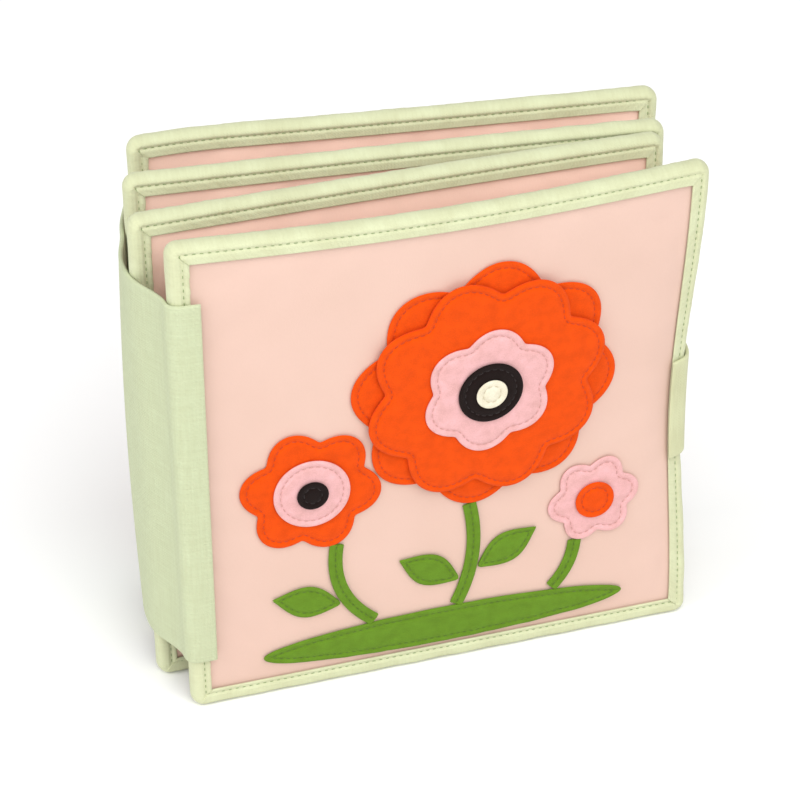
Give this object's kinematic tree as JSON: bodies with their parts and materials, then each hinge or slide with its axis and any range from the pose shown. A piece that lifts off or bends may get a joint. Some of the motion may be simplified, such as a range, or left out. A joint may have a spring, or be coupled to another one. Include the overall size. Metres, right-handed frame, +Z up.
{
  "type": "padded cloth book",
  "caption": "Standing padded cloth book with bound square leaves in a linen spine wrap, a cloth closure strap and layered felt flowers on the cover.",
  "frame": {"origin": "under the middle of the book's box, at the height of the leaves' standing edges", "axes": "+X from the spine to the fore edge, +Y from the front cover to the rear cover, +Z up"},
  "size_m": [0.2182, 0.1006, 0.2],
  "materials": {
    "binding_cotton": "plain-woven cotton bias binding, pale green",
    "microfibre": "brushed microfibre, peach",
    "crinkle_film": "thin crinkling polyester film",
    "wadding": "bonded polyester wadding",
    "spine_linen": "slubby linen weave, pale green",
    "strap_cotton": "plain-woven cotton, pale green",
    "hook_and_loop": "hook and loop tape, pale green",
    "orange_felt": "needle-punched felt, orange",
    "pink_felt": "needle-punched felt, pink",
    "black_felt": "needle-punched felt, black",
    "cream_felt": "needle-punched felt, cream",
    "green_felt": "needle-punched felt, green"
  },
  "bodies": {
    "spine": {"spine_centre_panel": "spine_linen"},
    "page_2": {"page_2_front_face": "microfibre", "page_2_rear_face": "microfibre", "page_2_crinkle_film": "crinkle_film", "page_2_wadding": "wadding", "page_2_binding": "binding_cotton", "spine_page_2_strip": "spine_linen"},
    "front_gusset": {"spine_front_gusset": "spine_linen"},
    "front_cover": {"front_cover_front_face": "microfibre", "front_cover_rear_face": "microfibre", "front_cover_crinkle_film": "crinkle_film", "front_cover_wadding": "wadding", "front_cover_binding": "binding_cotton", "spine_front_flap": "spine_linen", "strap_anchor": "strap_cotton", "big_flower_under": "orange_felt", "big_flower_upper": "orange_felt", "big_flower_rosette": "pink_felt", "big_flower_ring": "black_felt", "big_flower_centre": "cream_felt", "big_stem": "green_felt", "big_leaf_left": "green_felt", "big_leaf_right": "green_felt", "side_flower_petals": "orange_felt", "side_flower_rosette": "pink_felt", "side_flower_centre": "black_felt", "side_stem": "green_felt", "side_leaf": "green_felt", "low_flower_petals": "pink_felt", "low_flower_centre": "orange_felt", "low_stem": "green_felt", "grass_mound": "green_felt"},
    "page_3": {"page_3_front_face": "microfibre", "page_3_rear_face": "microfibre", "page_3_crinkle_film": "crinkle_film", "page_3_wadding": "wadding", "page_3_binding": "binding_cotton", "spine_page_3_strip": "spine_linen"},
    "rear_gusset": {"spine_rear_gusset": "spine_linen"},
    "rear_cover": {"rear_cover_front_face": "microfibre", "rear_cover_rear_face": "microfibre", "rear_cover_crinkle_film": "crinkle_film", "rear_cover_wadding": "wadding", "rear_cover_binding": "binding_cotton", "spine_rear_flap": "spine_linen", "loop_patch": "hook_and_loop"},
    "closure_strap": {"strap_leg": "strap_cotton"},
    "strap_tab": {"strap_tab": "strap_cotton", "hook_patch": "hook_and_loop"}
  },
  "joints": [
    {"name": "page_2_turn", "type": "hinge", "parent": "spine", "child": "page_2", "pos_m": [-0.10788, -0.00865, 0.1], "axis": [0, 0, 1], "range_deg": [-90, 0], "deforming": ["strap_leg", "strap_tab", "hook_patch"]},
    {"name": "front_gusset_turn", "type": "hinge", "parent": "page_2", "child": "front_gusset", "pos_m": [-0.10781, -0.017, 0.1], "axis": [0, 0, 1], "range_deg": [-81, 0]},
    {"name": "front_cover_turn", "type": "hinge", "parent": "front_gusset", "child": "front_cover", "pos_m": [-0.09991, -0.03118, 0.1], "axis": [0, 0, 1], "range_deg": [-100, 0], "deforming": ["strap_leg", "strap_tab", "hook_patch"]},
    {"name": "page_3_turn", "type": "hinge", "parent": "spine", "child": "page_3", "pos_m": [-0.1033, 0.01267, 0.1], "axis": [0, 0, 1], "range_deg": [0, 90], "deforming": ["strap_leg", "strap_tab", "hook_patch"]},
    {"name": "rear_gusset_turn", "type": "hinge", "parent": "page_3", "child": "rear_gusset", "pos_m": [-0.10253, 0.02098, 0.1], "axis": [0, 0, 1], "range_deg": [0, 81]},
    {"name": "rear_cover_turn", "type": "hinge", "parent": "rear_gusset", "child": "rear_cover", "pos_m": [-0.09584, 0.03981, 0.1], "axis": [0, 0, 1], "range_deg": [0, 100], "deforming": ["strap_leg", "strap_tab", "hook_patch"]},
    {"name": "strap_swing", "type": "hinge", "parent": "front_cover", "child": "closure_strap", "pos_m": [0.1057, -0.01957, 0.1], "axis": [0, 0, 1], "range_deg": [-150, 0]},
    {"name": "strap_tab_fold", "type": "hinge", "parent": "closure_strap", "child": "strap_tab", "pos_m": [0.10912, 0.03065, 0.1], "axis": [0, 0, 1], "range_deg": [-90, 0]}
  ],
  "couplings": [
    {"joint": "front_gusset_turn", "follows": "front_cover_turn", "ratio": 0.8},
    {"joint": "rear_gusset_turn", "follows": "rear_cover_turn", "ratio": 0.8}
  ]
}
